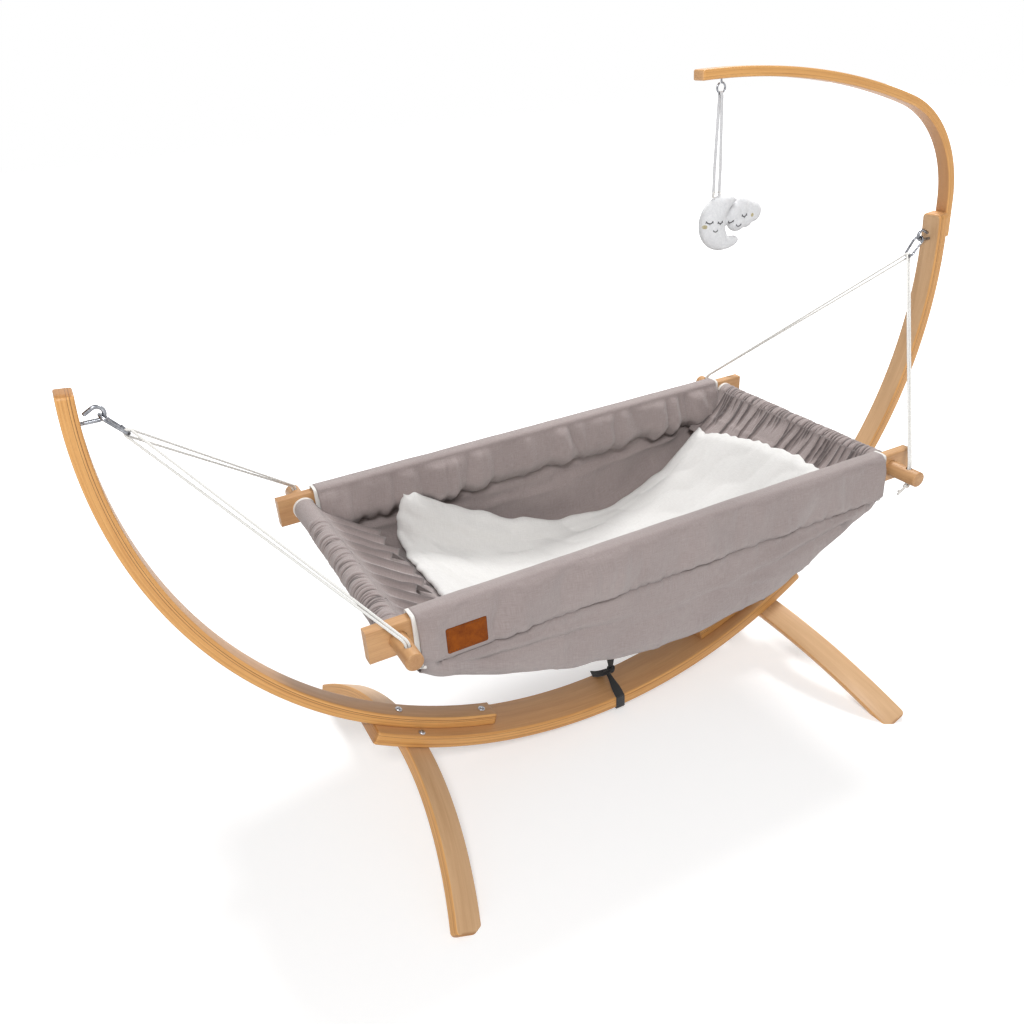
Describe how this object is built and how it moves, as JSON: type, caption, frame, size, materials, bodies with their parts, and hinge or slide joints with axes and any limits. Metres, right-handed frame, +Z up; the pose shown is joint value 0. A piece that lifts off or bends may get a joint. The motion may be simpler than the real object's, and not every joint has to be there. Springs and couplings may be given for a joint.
{
  "type": "hanging baby cradle",
  "caption": "Cloth cradle bed hung on cords between two bent laminated wood arms on a curved base with arched cross legs, with a toy hung from a thin arm.",
  "frame": {"origin": "on the floor under the middle of the base arc, between the four toes", "axes": "+X towards the head end with the toy arm, +Y to the far side, +Z up"},
  "size_m": [1.66, 0.7208, 1.191],
  "materials": {
    "honey_wood": "satin lacquered laminated strips, darker glue lines on the sides",
    "pale_wood": "raw beech",
    "zinc_steel": "zinc plated",
    "snap_steel": "bright",
    "grey_cloth": "warm grey woven cloth",
    "white_trim": "white piping",
    "white_pad": "white quilted cotton",
    "tan_leather": "tan, dark edges",
    "black_webbing": "woven webbing",
    "white_cord": "braided cord",
    "toy_ribbon": "satin ribbon",
    "toy_plush": "short white plush with stitched sleepy faces"
  },
  "bodies": {
    "stand": {"base_arc": "honey_wood", "left_arm": "honey_wood", "right_arm": "honey_wood", "left_leg": "honey_wood", "right_leg": "honey_wood", "mobile_arm": "honey_wood", "left_arm_bolt_1": "zinc_steel", "left_arm_bolt_2": "zinc_steel", "left_leg_bolt_a": "zinc_steel", "left_leg_bolt_b": "zinc_steel", "left_arm_nut_1": "zinc_steel", "left_arm_nut_2": "zinc_steel", "left_leg_nut_a": "zinc_steel", "left_leg_nut_b": "zinc_steel", "right_arm_bolt_1": "zinc_steel", "right_arm_bolt_2": "zinc_steel", "right_leg_bolt_a": "zinc_steel", "right_leg_bolt_b": "zinc_steel", "right_arm_nut_1": "zinc_steel", "right_arm_nut_2": "zinc_steel", "right_leg_nut_a": "zinc_steel", "right_leg_nut_b": "zinc_steel", "left_hook": "zinc_steel", "right_hook": "zinc_steel", "mobile_screw_lower": "zinc_steel", "mobile_screw_upper": "zinc_steel", "mobile_eye": "zinc_steel", "strap_loop": "black_webbing"},
    "bed": {"near_rail": "pale_wood", "far_rail": "pale_wood", "left_dowel": "pale_wood", "right_dowel": "pale_wood", "left_carabiner": "snap_steel", "right_carabiner": "snap_steel", "sling": "grey_cloth", "left_sleeve": "grey_cloth", "right_sleeve": "grey_cloth", "near_left_piping": "white_trim", "far_left_piping": "white_trim", "near_right_piping": "white_trim", "far_right_piping": "white_trim", "mat": "white_pad", "label": "tan_leather", "strap_drop": "black_webbing", "near_left_cord": "white_cord", "far_left_cord": "white_cord", "near_right_cord": "white_cord", "far_right_cord": "white_cord"},
    "left_snap_gate": {"left_gate": "snap_steel"},
    "right_snap_gate": {"right_gate": "snap_steel"},
    "hanging_toy": {"ribbon": "toy_ribbon", "moon": "toy_plush", "cloud": "toy_plush"}
  },
  "joints": [
    {"name": "bed_swing", "type": "hinge", "parent": "stand", "child": "bed", "pos_m": [0, 0, 0.8471], "axis": [1, 0, 0], "range_deg": [-12, 12]},
    {"name": "right_gate_hinge", "type": "hinge", "parent": "bed", "child": "right_snap_gate", "pos_m": [0.74974, -0.0079, 0.82432], "axis": [-0.7542, 0, 0.6567], "range_deg": [0, 25], "stiffness_Nm_per_rad": 0.02, "springref_deg": -20.05},
    {"name": "left_gate_hinge", "type": "hinge", "parent": "bed", "child": "left_snap_gate", "pos_m": [-0.74974, 0.0079, 0.82432], "axis": [0.7542, 0, 0.6567], "range_deg": [0, 25], "stiffness_Nm_per_rad": 0.02, "springref_deg": -20.05},
    {"name": "toy_swing", "type": "hinge", "parent": "stand", "child": "hanging_toy", "pos_m": [0.2519, 0, 1.153], "axis": [1, 0, 0], "range_deg": [-25, 25]}
  ]
}
